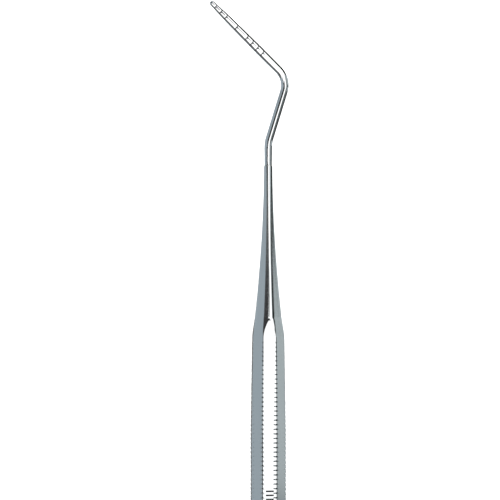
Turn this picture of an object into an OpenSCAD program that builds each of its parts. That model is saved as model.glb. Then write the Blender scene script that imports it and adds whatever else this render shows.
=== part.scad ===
// Graduated periodontal probe: a slim octagonal steel handle with a turned nose,
// and a round wire insert that is bent twice and ringed at 1-2-3-5-7-8-9-10 mm.
//
// The instrument lies on one facet of its handle. X runs along the handle towards
// the tip, Z is up, and both bends lie in the XY plane with the tip on the +Y side.
// The origin is on the bottom facet, under the handle's centre line.

/* [Overall] */

// Length of the handle, from the rear face to the nose face
handle_len = 142.6; // [120:0.1:160]

// Distance from the handle's rear face to the origin
origin_from_rear = 50; // [20:1:80]

// Sub-part to draw

/* [Octagonal bar] */

// Size across flats along the rear and the middle of the handle
bar_flats = 4.7; // [4.5:0.05:5]

// Size across flats where the turned nose begins
front_flats = 4.3; // [4.2:0.05:4.5]

// Length over which the bar narrows towards the nose
bar_taper_len = 13; // [10:0.1:30]

// Length over which each flat dips at the front, to meet the horn
flat_dip_len = 2.7; // [2:0.1:2.9]

// How far each flat dips
flat_dip = 0.31; // [0.2:0.01:0.32]

// Chamfer around the rear face
rear_chamfer = 0.7; // [0.3:0.1:1]

/* [Turned nose] */

// Diameter of the nose face
nose_d = 1.2; // [1.15:0.05:1.3]

// Length of the slender horn behind the nose face
horn_len = 20.6; // [19:0.1:22]

// Diameter at the thick end of the horn
horn_d = 3.62; // [3.4:0.02:3.66]

// How late the horn thickens: 1 is a straight cone
horn_power = 1.8; // [1.4:0.05:2.2]

// Length of the flare that runs out over the ridges of the bar
flare_len = 2.9; // [2.5:0.1:3.5]

// Growth in diameter per mm where the flare leaves the ridges
flare_end_slope = 0.2; // [0.15:0.01:0.3]

/* [Grip notches] */

// Number of turned rings that notch the ridges
notch_count = 62; // [10:1:80]

// Distance from one notch to the next
notch_pitch = 0.62; // [0.55:0.01:0.8]

// Distance from the flare's end to the first notch
notch_start = 0.6; // [0.3:0.05:1]

// Diameter over the notch floors at the front
notch_floor_front = 4.56; // [4.5:0.01:4.6]

// Diameter over the notch floors from the end of the bar's taper
notch_floor_rear = 4.79; // [4.78:0.01:4.85]

// Width of a notch at its floor
notch_floor_w = 0.12; // [0.08:0.01:0.2]

/* [Probe insert] */

// Wire diameter at the bends
wire_d = 1.1; // [1:0.02:1.2]

// Wire diameter at the nose face
neck_end_d = 1.05; // [1:0.01:1.1]

// Distance from the nose face to the corner of the lower bend
lower_leg = 3.2; // [2.5:0.1:4]

// Distance between the corners of the two bends
middle_leg = 9.15; // [8:0.05:11]

// Distance from the corner of the upper bend to the end of the tip
tip_leg = 14.95; // [14.5:0.05:16]

// Angle of the lower bend, away from the tip side
lower_bend = 17.1; // [10:0.1:25]

// Angle of the upper bend, back towards the tip side
upper_bend = 62.4; // [50:0.1:70]

// Centre line radius of the lower bend
lower_bend_r = 4.5; // [3:0.1:6]

// Centre line radius of the upper bend
upper_bend_r = 3; // [2.5:0.1:4]

/* [Graduated tip] */

// Diameter at the end of the tip, before rounding
tip_end_d = 0.68; // [0.6:0.01:0.8]

// Radius of the rounded end
tip_round = 0.3; // [0.2:0.01:0.32]

// Diameter behind the third ring
tip_mid_d = 0.97; // [0.9:0.01:1]

// Diameter from the seventh ring to the upper bend
tip_full_d = 1.16; // [1.1:0.01:1.2]

// Distances of the rings from the end of the tip, in millimetres
ring_marks = [1, 2, 3, 5, 7, 8, 9, 10];

// Width of a ring groove at the surface
ring_w = 0.12; // [0.1:0.01:0.35]

// Width of a ring groove at its floor
ring_floor_w = 0.07; // [0.05:0.01:0.09]

// Depth of a ring groove
ring_depth = 0.04; // [0.03:0.01:0.1]

// Thickness of the black fill in a ring groove
ring_fill = 0.03; // [0.01:0.005:0.03]

/* [Brazed joint] */

// Diameter of the tang inside the nose
tang_d = 0.7; // [0.6:0.05:0.75]

// Length of the tang
tang_len = 8.6; // [6:0.1:12]

// Thickness of the silver braze around the tang
braze_film = 0.05; // [0.03:0.01:0.06]

// Gap left behind the tang at the bottom of the bore
bore_relief = 0.4; // [0.2:0.1:1]

// Height of the braze fillet that stands on the nose face
braze_fillet = 0.09; // [0.05:0.01:0.12]

/* [Etched mark] */

// Distance from the nose face to the first bar of the mark
mark_start = 44.3; // [40:0.1:60]

// Length of each bar, across the facet
mark_bar_len = 1.1; // [0.8:0.05:1.2]

// Width of each bar
mark_bar_w = 0.24; // [0.2:0.01:0.4]

// Depth of the etched bars
mark_depth = 0.06; // [0.03:0.01:0.1]

// Thickness of the dark fill in the bars
mark_fill = 0.05; // [0.02:0.01:0.06]

/* [Hidden] */

steel = [0.72, 0.74, 0.75];
bright_steel = [0.82, 0.83, 0.84];
silver_braze = [0.85, 0.84, 0.78];
black_enamel = [0.05, 0.05, 0.06];

flat_count = 8;
flat_angle = 360 / flat_count;
corner_ratio = 1 / cos(flat_angle / 2);
axis_z = bar_flats / 2;
nose_x = handle_len - origin_from_rear;
flare_end = horn_len + flare_len;
dip_start = horn_len + flat_dip_len;
flat_dip_deg = atan(flat_dip / flat_dip_len);
bar_taper_deg = atan((bar_flats - front_flats) / 2 / bar_taper_len);
corner_clear = bar_flats * corner_ratio / 2 + 0.3;
notch_top = 0.4;
notch_wall_deg = 30;
neck_collar = 0.3;
notch_open = notch_top * tan(notch_wall_deg);
bore_d = tang_d + 2 * braze_film;
bore_len = tang_len + bore_relief;
drill_tip = bore_d / 2 / tan(59);
seat = 0.04;
seat_step = 0.006;
lower_tangent = lower_bend_r * tan(lower_bend / 2);
upper_tangent = upper_bend_r * tan(upper_bend / 2);
lower_straight = lower_leg - lower_tangent;
middle_straight = middle_leg - lower_tangent - upper_tangent;
tip_straight = tip_leg - upper_tangent;
mark_gaps = [0, 0.55, 1.1, 2.0, 2.55, 3.45, 4.0, 4.55];
$fn = 64;

// Diameter of the turned nose at a distance behind the nose face.
function horn(d) = nose_d + (horn_d - nose_d) * pow(d / horn_len, horn_power);

// Diameter of the flare, as t goes from 0 at the horn to 1 at the full ridges.
function flare(t) =
    let (start_slope = horn_power * (horn_d - nose_d) / horn_len)
    let (end_d = front_flats * corner_ratio)
    horn_d * (2 * t * t * t - 3 * t * t + 1)
    + start_slope * flare_len * (t * t * t - 2 * t * t + t)
    + end_d * (3 * t * t - 2 * t * t * t)
    + flare_end_slope * flare_len * (t * t * t - t * t);

// Size across flats at a distance behind the nose face.
function flats_at(d) =
    d >= flare_end + bar_taper_len
    ? bar_flats
    : bar_flats - (flare_end + bar_taper_len - d) * (bar_flats - front_flats) / bar_taper_len;

function notch_floor_at(d) =
    let (t = min(1, (d - flare_end) / bar_taper_len))
    notch_floor_front + (notch_floor_rear - notch_floor_front) * t;

// Diameter of the tip at a distance from its end, without the ring grooves.
function tip_diameter(s) =
    s <= 3 ? tip_end_d + (tip_mid_d - tip_end_d) * s / 3
    : s <= 9 ? tip_mid_d + (tip_full_d - tip_mid_d) * (s - 3) / 6
    : s <= 10.5 ? tip_full_d
    : tip_full_d + (wire_d - 2 * seat_step - tip_full_d) * (s - 10.5) / (tip_straight - 10.5);

// Turns a body of revolution about Z so that its axis lies along X.
module along_x() {
    rotate([0, 90, 0])
        children();
}

// Moves from the nose face, on the handle's centre line, to the row frame.
module at_nose() {
    translate([nose_x, 0, axis_z])
        children();
}

// Moves to the end of a bend that starts at the origin along X.
module past_bend(radius, angle) {
    translate([radius * sin(abs(angle)), sign(angle) * radius * (1 - cos(angle)), 0])
        rotate([0, 0, angle])
            children();
}

// Moves to the end of the tip, with X pointing back along it towards the bend.
module at_tip_end() {
    at_nose()
        translate([lower_straight, 0, 0])
            past_bend(lower_bend_r, -lower_bend)
                translate([middle_straight, 0, 0])
                    past_bend(upper_bend_r, upper_bend)
                        translate([tip_straight, 0, 0])
                            rotate([0, 0, 180])
                                children();
}

// Block whose lower face slopes down towards the nose from a point on the top flat.
module slope_cut(d, height, angle, length) {
    translate([-d, -bar_flats, height])
        rotate([0, angle, 0])
            cube([length, 2 * bar_flats, bar_flats]);
}

// Octagonal bar that narrows a little towards the nose, where each flat dips.
module bar() {
    taper_start = flare_end + bar_taper_len;
    dip_run = flat_dip_len / cos(flat_dip_deg);
    difference() {
        translate([-origin_from_rear, 0, axis_z])
            along_x()
                rotate([0, 0, flat_angle / 2])
                    cylinder(h = handle_len, d = bar_flats * corner_ratio, $fn = 8);
        for (i = [0 : flat_count - 1])
            at_nose()
                rotate([i * flat_angle, 0, 0]) {
                    slope_cut(taper_start, bar_flats / 2, bar_taper_deg, taper_start + 5);
                    slope_cut(dip_start, flats_at(dip_start) / 2, flat_dip_deg, dip_run);
                }
    }
}

// Everything a lathe leaves: the horn, the flare, and the chamfered rear face.
module turned_envelope() {
    horn_points = [for (i = [0 : 24]) [horn(horn_len * i / 24) / 2, handle_len - horn_len * i / 24]];
    flare_points = [for (i = [1 : 16]) [flare(i / 16) / 2, handle_len - horn_len - flare_len * i / 16]];
    run_out = [[corner_clear, handle_len - flare_end - 1.5], [corner_clear, rear_chamfer + 0.3]];
    rear = [[corner_clear - rear_chamfer - 0.3, 0], [0, 0]];
    translate([-origin_from_rear, 0, axis_z])
        along_x()
            rotate_extrude()
                polygon(concat([[0, handle_len]], horn_points, flare_points, run_out, rear));
}

// One turned ring, wide enough to open at any ridge.
module notch_ring(floor_d) {
    half = notch_floor_w / 2;
    r = floor_d / 2;
    rotate_extrude()
        polygon([
            [r, -half],
            [r + notch_top, -half - notch_open],
            [r + notch_top, half + notch_open],
            [r, half]
        ]);
}

module notches() {
    for (i = [0 : notch_count - 1]) {
        d = flare_end + notch_start + i * notch_pitch;
        at_nose()
            translate([-d, 0, 0])
                along_x()
                    notch_ring(notch_floor_at(d));
    }
}

// Blind bore in the nose that takes the tang, with the cone of a drill point.
module nose_bore() {
    at_nose()
        translate([-bore_len, 0, 0])
            along_x() {
                cylinder(h = bore_len + 1, d = bore_d);
                translate([0, 0, -drill_tip])
                    cylinder(h = drill_tip, d1 = 0, d2 = bore_d);
            }
}

// The bars of the etched mark, each a small block that starts under the top facet.
module mark_bars(depth, top) {
    for (gap = mark_gaps) {
        d = mark_start + gap;
        surface_z = flats_at(d) / 2;
        at_nose()
            translate([-d - mark_bar_w / 2, -mark_bar_len / 2, surface_z - depth])
                cube([mark_bar_w, mark_bar_len, top]);
    }
}

module handle() {
    color(steel)
        difference() {
            intersection() {
                bar();
                turned_envelope();
            }
            notches();
            nose_bore();
            mark_bars(mark_depth, 1);
        }
}

// A straight run of wire along X, let into the bends at its ends.
module straight_wire(length, d_start, d_end, seat_start, seat_end) {
    translate([-seat_start, 0, 0])
        along_x()
            cylinder(h = length + seat_start + seat_end, d1 = d_start, d2 = d_end);
}

// A bend that starts at the origin along X and turns to +Y for a positive angle.
module bent_wire(radius, angle) {
    rotate([angle < 0 ? 180 : 0, 0, 0])
        translate([0, radius, 0])
            rotate([0, 0, -90])
                rotate_extrude(angle = abs(angle))
                    translate([radius, 0, 0])
                        circle(d = wire_d);
}

// Profile of the tip from its rounded end to the bend, with the ring grooves cut in it.
module tip_body() {
    end_r = tip_end_d / 2;
    rounding = [for (a = [0 : 15 : 90])
        [end_r - tip_round + tip_round * sin(a), tip_round - tip_round * cos(a)]];
    grooves = [for (m = ring_marks) for (p = [
        [tip_diameter(m - ring_w / 2) / 2, m - ring_w / 2],
        [tip_diameter(m) / 2 - ring_depth, m - ring_floor_w / 2],
        [tip_diameter(m) / 2 - ring_depth, m + ring_floor_w / 2],
        [tip_diameter(m + ring_w / 2) / 2, m + ring_w / 2]
    ]) p];
    root = [
        [tip_full_d / 2, 10.5],
        [tip_diameter(tip_straight) / 2, tip_straight + seat],
        [0, tip_straight + seat]
    ];
    along_x()
        rotate_extrude()
            polygon(concat([[0, 0]], rounding, grooves, root));
}

module probe_insert() {
    fine_d = wire_d - 2 * seat_step;
    color(bright_steel) {
        at_nose() {
            translate([-tang_len, 0, 0])
                straight_wire(tang_len, tang_d, tang_d, 0, neck_collar / 2 + braze_film);
            translate([braze_film, 0, 0])
                straight_wire(neck_collar, neck_end_d, neck_end_d, 0, 0);
            translate([braze_film + neck_collar, 0, 0])
                straight_wire(lower_straight - braze_film - neck_collar, neck_end_d, fine_d, 0, seat);
            translate([lower_straight, 0, 0]) {
                bent_wire(lower_bend_r, -lower_bend);
                past_bend(lower_bend_r, -lower_bend) {
                    straight_wire(middle_straight, fine_d, fine_d, seat, seat);
                    translate([middle_straight, 0, 0])
                        bent_wire(upper_bend_r, upper_bend);
                }
            }
        }
        at_tip_end()
            tip_body();
    }
}

// Braze drawn in around the tang, ending in a small fillet on the nose face.
module braze_sleeve() {
    tang_r = tang_d / 2;
    neck_r = neck_end_d / 2;
    color(silver_braze)
        at_nose()
            translate([-tang_len, 0, 0])
                along_x()
                    rotate_extrude()
                        polygon([
                            [tang_r, 0],
                            [bore_d / 2, 0],
                            [bore_d / 2, tang_len],
                            [nose_d / 2 - 0.01, tang_len],
                            [neck_r, tang_len + braze_fillet],
                            [neck_r, tang_len + braze_film],
                            [tang_r, tang_len + braze_film]
                        ]);
}

module graduation_inlays() {
    color(black_enamel)
        for (m = ring_marks) {
            floor_r = tip_diameter(m) / 2 - ring_depth;
            widen = (ring_w - ring_floor_w) / 2 * ring_fill / ring_depth;
            at_tip_end()
                translate([m, 0, 0])
                    along_x()
                        rotate_extrude()
                            polygon([
                                [floor_r, -ring_floor_w / 2],
                                [floor_r + ring_fill, -ring_floor_w / 2 - widen],
                                [floor_r + ring_fill, ring_floor_w / 2 + widen],
                                [floor_r, ring_floor_w / 2]
                            ]);
        }
}

module marking_inlay() {
    color(black_enamel)
        mark_bars(mark_depth, mark_fill);
}

handle();
probe_insert();
braze_sleeve();
graduation_inlays();
marking_inlay();
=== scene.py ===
"""A graduated periodontal probe lying on a white table: smooth meshes, metals, light and camera.

The CAD frame gives the handle's place and size. Lengths are in millimetres until a mesh is made,
X runs along the handle towards the tip, and distances called "back" are measured behind the nose face.
"""

import math

import bmesh
import bpy
from mathutils import Matrix, Vector


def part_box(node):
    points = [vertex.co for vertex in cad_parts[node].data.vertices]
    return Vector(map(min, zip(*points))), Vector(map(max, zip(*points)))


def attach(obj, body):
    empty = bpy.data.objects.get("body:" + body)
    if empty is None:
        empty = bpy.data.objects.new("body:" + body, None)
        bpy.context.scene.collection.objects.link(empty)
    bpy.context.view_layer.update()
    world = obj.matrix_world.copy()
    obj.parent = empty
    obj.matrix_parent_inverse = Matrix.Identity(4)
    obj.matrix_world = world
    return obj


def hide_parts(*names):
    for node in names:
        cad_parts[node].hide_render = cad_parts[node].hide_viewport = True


MM = 0.001

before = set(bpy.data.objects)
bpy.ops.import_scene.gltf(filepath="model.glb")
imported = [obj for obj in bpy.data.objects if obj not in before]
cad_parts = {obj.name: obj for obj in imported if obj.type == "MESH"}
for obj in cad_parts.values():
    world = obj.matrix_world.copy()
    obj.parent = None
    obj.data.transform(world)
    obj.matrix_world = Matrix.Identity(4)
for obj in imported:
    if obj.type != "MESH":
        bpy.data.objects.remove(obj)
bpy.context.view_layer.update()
handle_lo, handle_hi = (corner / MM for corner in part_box("handle"))
marks_lo, marks_hi = (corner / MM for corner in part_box("marking_inlay"))

# Octagonal bar
FLAT_COUNT = 8
FLAT_ANGLE = 2 * math.pi / FLAT_COUNT
CORNER_RATIO = 1 / math.cos(FLAT_ANGLE / 2)
NOSE_X = handle_hi.x
HANDLE_LEN = handle_hi.x - handle_lo.x
BAR_FLATS = handle_hi.z - handle_lo.z
AXIS_Z = (handle_lo.z + handle_hi.z) / 2
FRONT_FLATS = 4.3
BAR_TAPER_LEN = 13
FLAT_DIP_LEN = 2.7
FLAT_DIP = 0.33
DIP_EDGE = 0.01
REAR_CHAMFER = 0.7
REAR_CLEAR = 0.3
RIDGE_BREAK = 0.022

# Turned nose
NOSE_D = 1.2
HORN_LEN = 20.6
HORN_D = 3.62
HORN_POWER = 1.8
FLARE_LEN = 2.9
FLARE_END = HORN_LEN + FLARE_LEN
DIP_START = HORN_LEN + FLAT_DIP_LEN
FLARE_END_SLOPE = 0.2
BORE_R = 0.4
BORE_LEN = 9.0
DRILL_POINT = math.radians(118)
DRILL_TIP = BORE_R / math.tan(DRILL_POINT / 2)

# Grip notches
NOTCH_COUNT = 62
NOTCH_PITCH = 0.62
NOTCH_START = 0.6
NOTCH_FLOOR_FRONT = 4.56
NOTCH_FLOOR_REAR = 4.79
NOTCH_HALF = 0.06
NOTCH_WALL = math.tan(math.radians(30))

# Insert
WIRE_R = 0.55
NECK_R = 0.525
NECK_COLLAR = 0.35
TANG_R = 0.35
TANG_LEN = 8.6
TANG_CHAMFER = 0.05
BRAZE_FILM = 0.05
BRAZE_FILLET = 0.09
BRAZE_INSET = 0.01
LOWER_BEND = math.radians(17.1)
UPPER_BEND = math.radians(62.4)
LOWER_BEND_R = 4.5
UPPER_BEND_R = 3.0
LOWER_CUT = LOWER_BEND_R * math.tan(LOWER_BEND / 2)
UPPER_CUT = UPPER_BEND_R * math.tan(UPPER_BEND / 2)
NOSE_TO_LOWER_BEND = 3.2
BEND_TO_BEND = 9.15
UPPER_BEND_TO_END = 14.949
LOWER_STRAIGHT = NOSE_TO_LOWER_BEND - LOWER_CUT
MIDDLE_STRAIGHT = BEND_TO_BEND - LOWER_CUT - UPPER_CUT
TIP_STRAIGHT = UPPER_BEND_TO_END - UPPER_CUT

# Graduated tip
TIP_END_R = 0.34
TIP_ROUND = 0.3
TIP_MID_R = 0.485
TIP_MID_AT = 3
TIP_FULL_R = 0.58
TIP_FULL_FROM = 9
TIP_FULL_TO = 10.5
RING_MARKS = (1, 2, 3, 5, 7, 8, 9, 10)
RING_HALF = 0.06
RING_FLOOR_HALF = 0.035
RING_DEPTH = 0.04
# The ring fill is painted shade: a black band standing in for the shadow in each graduation groove.
RING_FILL = 0.03
RING_CROWN = 0.004
RING_SHOULDERS = (0.09, 0.13, 0.18, 0.24, 0.32, 0.42)
SHOULDER_DROP = 0.02
SHOULDER_LEN = 0.1

# Etched mark
MARK_GAPS = (0, 0.55, 1.1, 2.0, 2.55, 3.45, 4.0, 4.55)
MARK_DEPTH = 0.06
MARK_FILL = 0.05
MARK_CROWN = 0.006
MARK_CROWN_INSET = 0.03
MARK_CUTTER_TOP = 0.2
MARK_CORNER = 0.06
MARK_LEN = marks_hi.y - marks_lo.y
MARK_W = marks_hi.x - marks_lo.x - MARK_GAPS[-1]
MARK_START = NOSE_X - marks_hi.x + MARK_W / 2


# ---------------------------------------------------------------- meshes


def skin(name, rings, loop=False):
    """One closed mesh through rings of points. A ring of one point closes an end."""
    points, faces, starts = [], [], []
    for ring in rings:
        starts.append(len(points))
        points.extend(ring)
    count = len(rings)
    for a in range(count if loop else count - 1):
        b = (a + 1) % count
        size = max(len(rings[a]), len(rings[b]))
        for i in range(size):
            j = (i + 1) % size
            corners = [starts[a] + i, starts[a] + j] if len(rings[a]) > 1 else [starts[a]]
            corners += [starts[b] + j, starts[b] + i] if len(rings[b]) > 1 else [starts[b]]
            faces.append(corners)
    mesh = bpy.data.meshes.new(name)
    mesh.from_pydata([Vector(p) * MM for p in points], [], faces)
    return mesh


def finish_mesh(mesh, crease_deg):
    """Turns faces outward and shades them smooth, with creases where they meet at more than crease_deg."""
    shape = bmesh.new()
    shape.from_mesh(mesh)
    bmesh.ops.recalc_face_normals(shape, faces=shape.faces)
    shape.to_mesh(mesh)
    shape.free()
    mesh.shade_smooth()
    mesh.set_sharp_from_angle(angle=math.radians(crease_deg))


def join_meshes(name, meshes):
    shape = bmesh.new()
    for mesh in meshes:
        shape.from_mesh(mesh)
        bpy.data.meshes.remove(mesh)
    whole = bpy.data.meshes.new(name)
    shape.to_mesh(whole)
    shape.free()
    return whole


def place(name, mesh, material, node):
    """Links a finished mesh as the piece that stands for a CAD node."""
    piece = bpy.data.objects.new(name, mesh)
    bpy.context.scene.collection.objects.link(piece)
    mesh.materials.append(material)
    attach(piece, "root")
    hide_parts(node)
    return piece


def steps(start, end, count):
    """count + 1 evenly spaced values from start to end."""
    return [start + (end - start) * i / count for i in range(count + 1)]


def circle(x, radius, count):
    """Ring round the handle's centre line."""
    if radius == 0:
        return [(x, 0, AXIS_Z)]
    angles = [2 * math.pi * i / count for i in range(count)]
    return [(x, -radius * math.sin(a), AXIS_Z + radius * math.cos(a)) for a in angles]


# ---------------------------------------------------------------- handle

FLAT_STEPS = 4
ARC_STEPS = 12
LEAST_RUN = math.radians(4)
BAR_COLUMNS = FLAT_COUNT * (FLAT_STEPS + ARC_STEPS)
HANDLE_CREASE_DEG = 5


def flats_at(back):
    """Size across flats at a distance behind the nose face: a slow taper, then the dip at the front."""
    tapered = max(0, FLARE_END + BAR_TAPER_LEN - max(back, DIP_START)) / BAR_TAPER_LEN
    dipped = min(FLAT_DIP_LEN, max(0, DIP_START - back)) / FLAT_DIP_LEN
    return BAR_FLATS - tapered * (BAR_FLATS - FRONT_FLATS) - dipped * 2 * FLAT_DIP


def ridge_at(back):
    """Radius over the ridges, which are broken by a hair."""
    return flats_at(back) * CORNER_RATIO / 2 - RIDGE_BREAK


def nose_radius(back):
    """Radius of the horn and of the flare behind it."""
    if back <= HORN_LEN:
        return (NOSE_D + (HORN_D - NOSE_D) * (back / HORN_LEN) ** HORN_POWER) / 2
    t = (back - HORN_LEN) / FLARE_LEN
    start_slope = HORN_POWER * (HORN_D - NOSE_D) / HORN_LEN
    end_d = FRONT_FLATS * CORNER_RATIO
    return (
        HORN_D * (2 * t**3 - 3 * t**2 + 1)
        + start_slope * FLARE_LEN * (t**3 - 2 * t**2 + t)
        + end_d * (3 * t**2 - 2 * t**3)
        + FLARE_END_SLOPE * FLARE_LEN * (t**3 - t**2)
    ) / 2


def notch_centres():
    return [FLARE_END + NOTCH_START + i * NOTCH_PITCH for i in range(NOTCH_COUNT)]


def notch_floor(back):
    t = min(1, (back - FLARE_END) / BAR_TAPER_LEN)
    return (NOTCH_FLOOR_FRONT + (NOTCH_FLOOR_REAR - NOTCH_FLOOR_FRONT) * t) / 2


def turned_radius(back, centre=None):
    """Radius that the lathe leaves, in the notch round centre if one is given."""
    radius = ridge_at(back)
    if back < FLARE_END:
        radius = min(radius, nose_radius(back))
    if centre is not None:
        wall = max(0, abs(back - centre) - NOTCH_HALF) / NOTCH_WALL
        radius = min(radius, notch_floor(centre) + wall)
    to_rear = HANDLE_LEN - back
    return min(radius, BAR_FLATS * CORNER_RATIO / 2 - REAR_CHAMFER + to_rear)


def bar_ring(back, centre=None):
    """Ring of the bar, or of the notch round centre: flats cut down to the turned radius."""
    flat = flats_at(back) / 2
    radius = turned_radius(back, centre)
    run = max(LEAST_RUN, math.acos(min(1, flat / radius)))
    flat_part = steps(-run, run, FLAT_STEPS)[:-1]
    arc_part = steps(run, FLAT_ANGLE - run, ARC_STEPS)[:-1]
    ring = []
    for side in range(FLAT_COUNT):
        for turn in flat_part + arc_part:
            off_flat = min(abs(turn), abs(FLAT_ANGLE - turn))
            r = min(flat / math.cos(off_flat), radius)
            angle = side * FLAT_ANGLE + turn
            ring.append((NOSE_X - back, -r * math.sin(angle), AXIS_Z + r * math.cos(angle)))
    return ring


def notch_stations(centre):
    """Stations across one notch, from its front edge to its rear edge."""
    open_half = NOTCH_HALF + (ridge_at(centre) - notch_floor(centre)) * NOTCH_WALL
    front = steps(centre - open_half, centre - NOTCH_HALF, 2)
    rear = steps(centre + NOTCH_HALF, centre + open_half, 2)
    return front + rear


def handle_mesh():
    """The whole handle as one closed skin, from the bottom of its bore out to the nose and to the rear."""
    bore_end = NOSE_X - BORE_LEN
    rings = [circle(bore_end - DRILL_TIP, 0, 1)]
    rings += [circle(x, BORE_R, BAR_COLUMNS) for x in steps(bore_end, NOSE_X, 6)]
    dip_crease = [DIP_START - DIP_EDGE, DIP_START, DIP_START + DIP_EDGE]
    nose = steps(0, HORN_LEN, 60) + sorted(steps(HORN_LEN, FLARE_END, 110)[1:] + dip_crease)
    rings += [bar_ring(back) for back in nose]
    for centre in notch_centres():
        rings += [bar_ring(back, centre) for back in notch_stations(centre)]
    rear = steps(notch_centres()[-1] + 1, HANDLE_LEN - REAR_CHAMFER - REAR_CLEAR, 8)
    rear += steps(HANDLE_LEN - REAR_CHAMFER, HANDLE_LEN, 14)
    rings += [bar_ring(back) for back in rear]
    rings += [circle(NOSE_X - HANDLE_LEN, 0, 1)]
    return skin("handle_skin", rings)


def mark_outline(z, inset=0.0):
    """Rounded rectangle across the top flat, centred on the origin."""
    reach_x = MARK_W / 2 - inset - MARK_CORNER
    reach_y = MARK_LEN / 2 - inset - MARK_CORNER
    points = []
    for quarter in range(4):
        sign_x = 1 if quarter in (0, 3) else -1
        sign_y = 1 if quarter in (0, 1) else -1
        for turn in steps(0, math.pi / 2, 5):
            angle = quarter * math.pi / 2 + turn
            points.append((
                sign_x * reach_x + MARK_CORNER * math.cos(angle),
                sign_y * reach_y + MARK_CORNER * math.sin(angle),
                z,
            ))
    return points


def mark_block(back, bottom, top, crown):
    """A bar of the mark, between two depths under the flat, with a slightly crowned top."""
    surface = AXIS_Z + flats_at(back) / 2
    rings = [[(0, 0, bottom)], mark_outline(bottom), mark_outline(top)]
    if crown:
        rings.append(mark_outline(top + crown * 0.7, MARK_CROWN_INSET))
    rings.append([(0, 0, top + crown)])
    rings = [[(x + NOSE_X - back, y, z + surface) for x, y, z in ring] for ring in rings]
    return skin("mark_block", rings)


def mark_places():
    return [MARK_START + gap for gap in MARK_GAPS]


def etch_recesses(piece):
    """Cuts the shallow bars of the mark into the top flat."""
    blocks = [mark_block(back, -MARK_DEPTH, MARK_CUTTER_TOP, 0) for back in mark_places()]
    cutter_mesh = join_meshes("mark_cutter", blocks)
    finish_mesh(cutter_mesh, crease_deg=30)
    cutter = bpy.data.objects.new("mark_cutter", cutter_mesh)
    bpy.context.scene.collection.objects.link(cutter)
    cut = piece.modifiers.new("etch", "BOOLEAN")
    cut.operation = "DIFFERENCE"
    cut.solver = "EXACT"
    cut.object = cutter
    ready = piece.evaluated_get(bpy.context.evaluated_depsgraph_get())
    mesh = bpy.data.meshes.new_from_object(ready)
    piece.modifiers.clear()
    piece.data = mesh
    bpy.data.objects.remove(cutter)
    mesh.set_sharp_from_angle(angle=math.radians(HANDLE_CREASE_DEG))


def build_handle(material):
    mesh = handle_mesh()
    finish_mesh(mesh, HANDLE_CREASE_DEG)
    piece = place("octagonal_handle", mesh, material, "handle")
    etch_recesses(piece)


# ---------------------------------------------------------------- insert

WIRE_COLUMNS = 72


def bend_stations(start, heading, radius, angle, count):
    """Stations, as (centre, heading), round a bend of the centre line."""
    stations = []
    side = math.copysign(1, angle)
    centre = start + side * radius * Vector((-math.sin(heading), math.cos(heading)))
    for turn in steps(0, angle, count):
        now = heading + turn
        stations.append((centre - side * radius * Vector((-math.sin(now), math.cos(now))), now))
    return stations


def wire_ring(centre, heading, radius):
    """Ring round the bent centre line."""
    if radius == 0:
        return [(centre.x, centre.y, AXIS_Z)]
    ring = []
    for i in range(WIRE_COLUMNS):
        angle = 2 * math.pi * i / WIRE_COLUMNS
        across = -radius * math.sin(angle)
        ring.append((
            centre.x - across * math.sin(heading),
            centre.y + across * math.cos(heading),
            AXIS_Z + radius * math.cos(angle),
        ))
    return ring


def ring_drop(s):
    """How far the tip's surface is cut away at a distance s from its end."""
    off = min(abs(s - mark) for mark in RING_MARKS)
    shoulder = SHOULDER_DROP * math.exp(-max(0, off - RING_HALF) / SHOULDER_LEN)
    wall = (RING_HALF - off) / (RING_HALF - RING_FLOOR_HALF)
    return shoulder + RING_DEPTH * max(0, min(1, wall))


def tip_radius(s):
    """Radius of the tip at a distance s from its end, without the rings."""
    if s <= TIP_MID_AT:
        return TIP_END_R + (TIP_MID_R - TIP_END_R) * s / TIP_MID_AT
    if s <= TIP_FULL_FROM:
        t = (s - TIP_MID_AT) / (TIP_FULL_FROM - TIP_MID_AT)
        return TIP_MID_R + (TIP_FULL_R - TIP_MID_R) * t
    if s <= TIP_FULL_TO:
        return TIP_FULL_R
    return TIP_FULL_R + (WIRE_R - TIP_FULL_R) * (s - TIP_FULL_TO) / (TIP_STRAIGHT - TIP_FULL_TO)


def tip_stations():
    """Distances from the end of the tip: dense across each ring, sparse between."""
    found = set()
    for mark in RING_MARKS:
        for off in (0, RING_FLOOR_HALF, RING_HALF) + RING_SHOULDERS:
            found.update((mark - off, mark + off))
    found.update(steps(3.6, 4.4, 4) + steps(5.6, 6.4, 4) + steps(TIP_FULL_TO, TIP_STRAIGHT, 12))
    found.update(steps(TIP_ROUND, 0.5, 2))
    return sorted(s for s in found if s >= TIP_ROUND)


def both_bends():
    """Stations round the lower bend and round the upper one, whose last is the root of the tip."""
    nose = Vector((NOSE_X, 0))
    lower_start = nose + Vector((LOWER_STRAIGHT, 0))
    lower = bend_stations(lower_start, 0, LOWER_BEND_R, -LOWER_BEND, 14)
    last, heading = lower[-1]
    upper_start = last + MIDDLE_STRAIGHT * Vector((math.cos(heading), math.sin(heading)))
    upper = bend_stations(upper_start, heading, UPPER_BEND_R, UPPER_BEND, 32)
    return lower, upper


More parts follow.
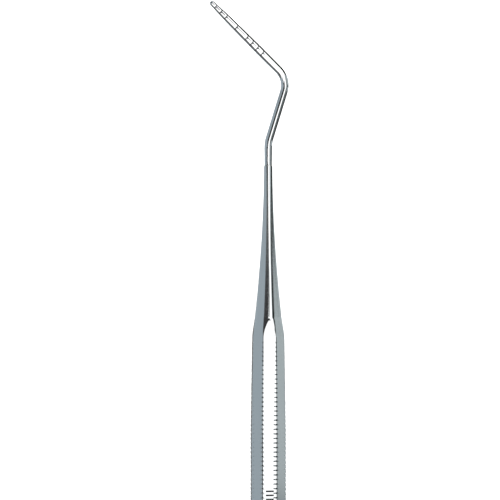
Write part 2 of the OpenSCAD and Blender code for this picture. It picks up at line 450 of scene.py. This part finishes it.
def insert_mesh():
    """Tang, neck, two bends and the ringed tip as one closed skin."""
    nose = Vector((NOSE_X, 0))
    lower, upper = both_bends()
    rings = []
    tang_back = [
        (-TANG_LEN, 0),
        (-TANG_LEN, TANG_R - TANG_CHAMFER),
        (-TANG_LEN + TANG_CHAMFER, TANG_R),
    ]
    neck = [(BRAZE_FILM, TANG_R), (BRAZE_FILM, NECK_R), (NECK_COLLAR, NECK_R)]
    for ahead, radius in tang_back + neck:
        rings.append(wire_ring(nose + Vector((ahead, 0)), 0, radius))
    for ahead in steps(NECK_COLLAR, LOWER_STRAIGHT, 8)[1:-1]:
        t = (ahead - NECK_COLLAR) / (LOWER_STRAIGHT - NECK_COLLAR)
        rings.append(wire_ring(nose + Vector((ahead, 0)), 0, NECK_R + (WIRE_R - NECK_R) * t))
    rings += [wire_ring(centre, heading, WIRE_R) for centre, heading in lower + upper]
    root, heading = upper[-1]
    along = Vector((math.cos(heading), math.sin(heading)))
    for s in reversed(tip_stations()[:-1]):
        centre = root + (TIP_STRAIGHT - s) * along
        rings.append(wire_ring(centre, heading, tip_radius(s) - ring_drop(s)))
    for turn in steps(0, math.pi / 2, 8)[1:]:
        s = TIP_ROUND * (1 - math.sin(turn))
        radius = TIP_END_R - TIP_ROUND + TIP_ROUND * math.cos(turn)
        rings.append(wire_ring(root + (TIP_STRAIGHT - s) * along, heading, radius))
    rings.append(wire_ring(root + TIP_STRAIGHT * along, heading, 0))
    return skin("insert_skin", rings)


def build_insert(material):
    mesh = insert_mesh()
    finish_mesh(mesh, crease_deg=28)
    place("graduated_insert", mesh, material, "probe_insert")


def ring_shade_fill(mark):
    """The black fill of one ring, slightly crowned: painted shade that stands in for the shadow in the
    ring's groove.
    """
    root, heading = both_bends()[1][-1]
    along = Vector((math.cos(heading), math.sin(heading)))
    floor_r = tip_radius(mark) - SHOULDER_DROP - RING_DEPTH
    spread = (RING_HALF - RING_FLOOR_HALF) * RING_FILL / RING_DEPTH
    half_top = RING_FLOOR_HALF + spread
    top_r = floor_r + RING_FILL
    section = [(-RING_FLOOR_HALF, floor_r), (-half_top, top_r)]
    section += [(-half_top / 2, top_r + RING_CROWN * 0.75), (0, top_r + RING_CROWN)]
    section += [(half_top / 2, top_r + RING_CROWN * 0.75)]
    section += [(half_top, top_r), (RING_FLOOR_HALF, floor_r)]
    rings = [
        wire_ring(root + (TIP_STRAIGHT - mark + off) * along, heading, radius)
        for off, radius in section
    ]
    return skin("ring_shade_fill", rings, loop=True)


def build_graduations(material):
    # The black ring fills are painted shade, standing in for the shadow in the graduation grooves.
    mesh = join_meshes("ring_shade_fills", [ring_shade_fill(mark) for mark in RING_MARKS])
    finish_mesh(mesh, crease_deg=40)
    place("ring_shade_fills", mesh, material, "graduation_inlays")


def build_braze(material):
    """Braze round the tang, with a concave fillet between the nose face and the neck."""
    back_end = NOSE_X - TANG_LEN
    rings = [circle(back_end, TANG_R, WIRE_COLUMNS), circle(back_end, BORE_R, WIRE_COLUMNS)]
    rings.append(circle(NOSE_X, BORE_R, WIRE_COLUMNS))
    outer_r = NOSE_D / 2 - BRAZE_INSET
    for turn in steps(0, math.pi / 2, 6):
        radius = outer_r - (outer_r - NECK_R) * math.sin(turn)
        rings.append(circle(NOSE_X + BRAZE_FILLET * (1 - math.cos(turn)), radius, WIRE_COLUMNS))
    rings.append(circle(NOSE_X + BRAZE_FILM, NECK_R, WIRE_COLUMNS))
    rings.append(circle(NOSE_X + BRAZE_FILM, TANG_R, WIRE_COLUMNS))
    mesh = skin("braze_skin", rings, loop=True)
    finish_mesh(mesh, crease_deg=40)
    place("braze_ring", mesh, material, "braze_sleeve")


def build_mark(material):
    blocks = [
        mark_block(back, -MARK_DEPTH, MARK_FILL - MARK_DEPTH, MARK_CROWN) for back in mark_places()
    ]
    mesh = join_meshes("etched_bars", blocks)
    finish_mesh(mesh, crease_deg=40)
    place("etched_bars", mesh, material, "marking_inlay")


# ---------------------------------------------------------------- shader helpers


def add_node(tree, kind, **settings):
    node = tree.nodes.new(kind)
    for key, value in settings.items():
        setattr(node, key, value)
    return node


def feed(tree, socket, value):
    """Links a socket, or sets a plain value."""
    if isinstance(value, bpy.types.NodeSocket):
        tree.links.new(value, socket)
    else:
        socket.default_value = value


def calc(tree, operation, *values, clamp=False):
    node = add_node(tree, "ShaderNodeMath", operation=operation, use_clamp=clamp)
    for socket, value in zip(node.inputs, values):
        feed(tree, socket, value)
    return node.outputs[0]


def ramp(tree, value, low, high, to_low=0.0, to_high=1.0, curve="SMOOTHSTEP"):
    """Change from to_low to to_high as value goes from low to high."""
    node = add_node(tree, "ShaderNodeMapRange", interpolation_type=curve)
    for socket, setting in zip(node.inputs, (value, low, high, to_low, to_high)):
        feed(tree, socket, setting)
    return node.outputs[0]


def blend(tree, factor, a, b):
    """Plain number between a and b."""
    return calc(tree, "MULTIPLY_ADD", factor, calc(tree, "SUBTRACT", b, a), a)


def tint(tree, factor, a, b):
    """Colour between a and b, each a colour or another node's output."""
    node = add_node(tree, "ShaderNodeMix", data_type="RGBA")
    feed(tree, node.inputs["Factor"], factor)
    for socket, colour in ((node.inputs[6], a), (node.inputs[7], b)):
        feed(tree, socket, (*colour, 1) if isinstance(colour, tuple) else colour)
    return node.outputs[2]


def noise(tree, stretch, detail=2.0):
    """Noise whose features are 1 / stretch millimetres long along each axis."""
    coordinates = add_node(tree, "ShaderNodeTexCoord")
    scale = add_node(tree, "ShaderNodeMapping")
    scale.inputs["Scale"].default_value = [value / MM for value in stretch]
    tree.links.new(coordinates.outputs["Object"], scale.inputs["Vector"])
    node = add_node(tree, "ShaderNodeTexNoise")
    node.inputs["Scale"].default_value = 1
    node.inputs["Detail"].default_value = detail
    tree.links.new(scale.outputs[0], node.inputs["Vector"])
    return node.outputs["Fac"]


def new_material(name):
    material = bpy.data.materials.new(name)
    material.use_nodes = True
    tree = material.node_tree
    return material, tree, tree.nodes["Principled BSDF"]


def bump(tree, surface, height, distance):
    node = add_node(tree, "ShaderNodeBump")
    node.inputs["Distance"].default_value = distance * MM
    feed(tree, node.inputs["Height"], height)
    tree.links.new(node.outputs[0], surface.inputs["Normal"])


# ---------------------------------------------------------------- materials


LEAST_LEAN = 0.02


def turned_masks(tree):
    """Two masks: 1 on every surface that the lathe made, and 1 in the notches only."""
    geometry = add_node(tree, "ShaderNodeNewGeometry")
    normal = add_node(tree, "ShaderNodeSeparateXYZ")
    tree.links.new(geometry.outputs["True Normal"], normal.inputs[0])
    spot = add_node(tree, "ShaderNodeSeparateXYZ")
    tree.links.new(geometry.outputs["Position"], spot.inputs[0])
    leans = calc(tree, "GREATER_THAN", calc(tree, "ABSOLUTE", normal.outputs["X"]), LEAST_LEAN)
    horn_x = (NOSE_X - HORN_LEN) * MM
    on_horn = calc(tree, "GREATER_THAN", spot.outputs["X"], horn_x)
    behind_flare = calc(tree, "LESS_THAN", spot.outputs["X"], (NOSE_X - FLARE_END) * MM)
    return calc(tree, "MAXIMUM", leans, on_horn), calc(tree, "MULTIPLY", leans, behind_flare)


def handle_steel():
    """Satin stainless steel: ground along the bar, turned round the nose."""
    material, tree, surface = new_material("handle_steel")
    turned, notched = turned_masks(tree)
    ground = noise(tree, (0.25, 11, 11), 3)
    lathe = noise(tree, (14, 0.2, 0.2), 3)
    smudge = noise(tree, (0.12, 0.5, 0.5))
    grain = blend(tree, turned, ground, lathe)
    roughness = calc(tree, "MULTIPLY_ADD", grain, 0.05, 0.05)
    roughness = calc(tree, "MULTIPLY_ADD", smudge, 0.03, roughness)
    roughness = calc(tree, "MULTIPLY_ADD", notched, 0.2, roughness)
    feed(tree, surface.inputs["Base Color"], tint(tree, smudge, (0.60, 0.615, 0.62), (0.65, 0.66, 0.66)))
    surface.inputs["Metallic"].default_value = 1
    feed(tree, surface.inputs["Roughness"], roughness)
    bump(tree, surface, grain, 0.0006)
    return material


def probe_steel():
    """Polished stainless steel with the faint rings of its buffing."""
    material, tree, surface = new_material("probe_steel")
    buffing = noise(tree, (9, 9, 2), 3)
    smudge = noise(tree, (0.3, 0.3, 0.3))
    roughness = calc(tree, "MULTIPLY_ADD", buffing, 0.05, 0.08)
    feed(tree, surface.inputs["Base Color"], tint(tree, smudge, (0.64, 0.65, 0.655), (0.69, 0.695, 0.70)))
    surface.inputs["Metallic"].default_value = 1
    feed(tree, surface.inputs["Roughness"], roughness)
    bump(tree, surface, buffing, 0.0004)
    return material


def silver_braze():
    """Silver braze, a little warmer and rougher than the steel."""
    material, tree, surface = new_material("silver_braze")
    ripple = noise(tree, (6, 6, 6), 3)
    feed(tree, surface.inputs["Base Color"], tint(tree, ripple, (0.70, 0.68, 0.62), (0.80, 0.79, 0.75)))
    surface.inputs["Metallic"].default_value = 1
    feed(tree, surface.inputs["Roughness"], calc(tree, "MULTIPLY_ADD", ripple, 0.15, 0.18))
    bump(tree, surface, ripple, 0.004)
    return material


def black_enamel():
    """Near-black fill for the ring grooves with a soft gloss and fine pits: painted shade standing in for
    the grooves' shadow.
    """
    material, tree, surface = new_material("black_enamel")
    pits = noise(tree, (22, 22, 22))
    # Near-black colour painted into the grooves in place of their shadow.
    feed(tree, surface.inputs["Base Color"], tint(tree, pits, (0.006, 0.006, 0.007), (0.02, 0.02, 0.022)))
    feed(tree, surface.inputs["Roughness"], calc(tree, "MULTIPLY_ADD", pits, 0.2, 0.35))
    surface.inputs["Specular IOR Level"].default_value = 0.3
    bump(tree, surface, pits, 0.003)
    return material


def etch_black():
    """Dark, grainy oxide at the bottom of the etched bars."""
    material, tree, surface = new_material("etch_black")
    grain = noise(tree, (16, 16, 16), 4)
    feed(tree, surface.inputs["Base Color"], tint(tree, grain, (0.004, 0.004, 0.005), (0.03, 0.03, 0.034)))
    feed(tree, surface.inputs["Roughness"], calc(tree, "MULTIPLY_ADD", grain, 0.25, 0.55))
    surface.inputs["Specular IOR Level"].default_value = 0.2
    bump(tree, surface, grain, 0.006)
    return material


# ---------------------------------------------------------------- studio

SKY = (2.7, 2.7, 2.7)
BACKDROP = (1, 1, 1)
TABLE_SHADE = 0.9
LEFT_GREY = (0.463, 0.536, 0.588)
RIGHT_GREY = (0.575, 0.64, 0.66)
WHITE, SMOKE, DARK, BLACK = (1.9,) * 3, (0.17,) * 3, (0.06,) * 3, (0.01,) * 3
EDGE_SOFT = 2.0
# Panels hung round the object, each hiding those before it, as (lean, lower roll, upper roll) at each
# corner. Lean is in degrees towards the tip, and roll in degrees from straight up towards -Y.
PANELS = (
    ("right_wall", RIGHT_GREY, (-90, 36, 180), (90, 36, 180)),
    ("strip_light", WHITE, (-40, -38, 28), (2, -38, 28), (3, -9, 28), (6, -1, 32), (7, 4, 27),
        (8, 9, 26), (9, 11.5, 29), (10.1, 11.5, 28), (10.4, -5, 30), (12.9, -5, 31),
        (14, 12, 36), (18, 18, 39), (24, 18, 56), (60, 18, 56)),
    ("side_light", WHITE, (-80, -58, 0), (-14, -58, 0)),
    ("edge_card_left", SMOKE, (-14, -182, -168), (1, -182, -168)),
    ("edge_card_right", SMOKE, (-8, 134, 150), (1, 134, 150)),
    ("ridge_flag_left", BLACK, (-14, -48, -37), (0.3, -48, -37), (0.5, -74, -39), (1.2, -56, -8),
        (4.2, -50, -8)),
    ("nose_smoke", SMOKE, (4, -42, -7), (5.5, -40, -3), (8, -42, 6)),
    ("nose_flag", DARK, (7.6, -38, -3), (8.4, -40, 8), (9.4, -44, 10), (10.1, -46, 10), (10.4, -46, -7),
        (12.9, -46, -7), (14, -46, 10), (18, -46, 16), (30, -46, 16)),
    ("groove_flag", BLACK, (-14, 31, 41), (1.5, 31, 41)),
    ("ridge_flag_right", BLACK, (-14, 46, 60), (0.3, 46, 60), (0.5, 49, 88)),
    ("notch_glow_front", WHITE, (50, -182, -158), (75, -182, -158)),
    ("notch_glow_rear", WHITE, (-75, -182, -158), (-50, -182, -158)),
    ("leg_card", DARK, (-25, 66, 135), (-8, 66, 135)),
    ("nose_card", BLACK, (0.5, 64, 134), (4, 68, 110), (5, 56, 95), (5.6, 46, 80), (6.4, 39, 64),
        (7, 36, 58), (8.5, 31, 50), (11, 31, 47), (14, 39, 52), (20, 46, 56)),
    ("tip_card_right", BLACK, (25, 56, 150), (70, 56, 150)),
    ("tip_card_left", SMOKE, (-75, -122, -44), (-18, -122, -44)),
    ("end_card", DARK, (23, -150, -30), (80, -150, -30)),
)


def direction_angles(tree):
    """Roll and lean of the direction that the world is seen in, in degrees."""
    coordinates = add_node(tree, "ShaderNodeTexCoord")
    parts = add_node(tree, "ShaderNodeSeparateXYZ")
    tree.links.new(coordinates.outputs["Generated"], parts.inputs[0])
    x, y, z = parts.outputs
    towards_minus_y = calc(tree, "MULTIPLY", y, -1.0)
    roll = calc(tree, "DEGREES", calc(tree, "ARCTAN2", towards_minus_y, z))
    lean = calc(tree, "DEGREES", calc(tree, "ARCSINE", x))
    return roll, lean


def bent_edge(tree, lean, corners):
    """Roll that goes straight from each (lean, roll) corner to the next."""
    roll = corners[0][1]
    for (lean_a, roll_a), (lean_b, roll_b) in zip(corners, corners[1:]):
        change = ramp(tree, lean, lean_a, lean_b, 0.0, roll_b - roll_a, curve="LINEAR")
        roll = calc(tree, "ADD", roll, change)
    return roll


def between(tree, angle, low, high):
    """1 between two angles, with a soft edge centred on each."""
    inside = calc(tree, "MINIMUM", calc(tree, "SUBTRACT", angle, low), calc(tree, "SUBTRACT", high, angle))
    return ramp(tree, inside, -EDGE_SOFT / 2, EDGE_SOFT / 2)


def hung_panels(tree):
    """Colour of the studio in each direction."""
    roll, lean = direction_angles(tree)
    seen = LEFT_GREY
    for _, colour, *corners in PANELS:
        low = bent_edge(tree, lean, [(corner[0], corner[1]) for corner in corners])
        high = bent_edge(tree, lean, [(corner[0], corner[2]) for corner in corners])
        across = between(tree, roll, low, high)
        along = between(tree, lean, corners[0][0], corners[-1][0])
        seen = tint(tree, calc(tree, "MULTIPLY", across, along), seen, colour)
    return seen


def build_world():
    """Soft white studio: even light for the table, and hung panels that the steel mirrors."""
    world = bpy.data.worlds.new("studio")
    world.use_nodes = True
    world.cycles.sampling_method = "NONE"
    tree = world.node_tree
    tree.nodes.clear()
    path = add_node(tree, "ShaderNodeLightPath")
    seen = tint(tree, path.outputs["Is Glossy Ray"], SKY, hung_panels(tree))
    seen = tint(tree, path.outputs["Is Camera Ray"], seen, BACKDROP)
    background = add_node(tree, "ShaderNodeBackground")
    tree.links.new(seen, background.inputs["Color"])
    output = add_node(tree, "ShaderNodeOutputWorld")
    tree.links.new(background.outputs[0], output.inputs[0])
    bpy.context.scene.world = world


def build_table():
    """White table that the instrument lies on; the steel mirrors the panels below it instead."""
    half = 3000.0
    top = -0.01
    corners = [(-half, -half, top), (half, -half, top), (half, half, top), (-half, half, top)]
    mesh = bpy.data.meshes.new("table")
    mesh.from_pydata([Vector(corner) * MM for corner in corners], [], [(0, 1, 2, 3)])
    table = bpy.data.objects.new("table", mesh)
    bpy.context.scene.collection.objects.link(table)
    material, tree, surface = new_material("table_white")
    surface.inputs["Base Color"].default_value = (TABLE_SHADE, TABLE_SHADE, TABLE_SHADE, 1)
    surface.inputs["Roughness"].default_value = 1
    surface.inputs["Specular IOR Level"].default_value = 0
    path = add_node(tree, "ShaderNodeLightPath")
    choice = add_node(tree, "ShaderNodeMixShader")
    clear = add_node(tree, "ShaderNodeBsdfTransparent")
    tree.links.new(path.outputs["Is Glossy Ray"], choice.inputs[0])
    tree.links.new(surface.outputs[0], choice.inputs[1])
    tree.links.new(clear.outputs[0], choice.inputs[2])
    tree.links.new(choice.outputs[0], tree.nodes["Material Output"].inputs["Surface"])
    mesh.materials.append(material)


def build_camera():
    """Long lens above the front of the instrument, with the tip at the top of the picture.

    It looks at a point behind the nose and beside the axis, and field is the width seen there.
    """
    data = bpy.data.cameras.new("camera")
    data.lens = 135
    field = 68.5
    behind_nose = 11.51
    beside_axis = 2.51
    tilt = math.radians(4.75)
    distance = field * data.lens / data.sensor_width
    target = Vector((NOSE_X - behind_nose, beside_axis, AXIS_Z))
    back = Vector((0, math.sin(tilt), math.cos(tilt)))
    up = Vector((1, 0, 0))
    turn = Matrix((up.cross(back), up, back)).transposed().to_4x4()
    camera = bpy.data.objects.new("camera", data)
    camera.matrix_world = Matrix.Translation((target + distance * back) * MM) @ turn
    data.clip_start = 0.01
    data.clip_end = 20
    bpy.context.scene.collection.objects.link(camera)
    bpy.context.scene.camera = camera


def build():
    build_handle(handle_steel())
    build_insert(probe_steel())
    build_braze(silver_braze())
    build_graduations(black_enamel())
    build_mark(etch_black())
    build_table()
    build_world()
    build_camera()
    bpy.context.scene.view_settings.view_transform = "Standard"


build()
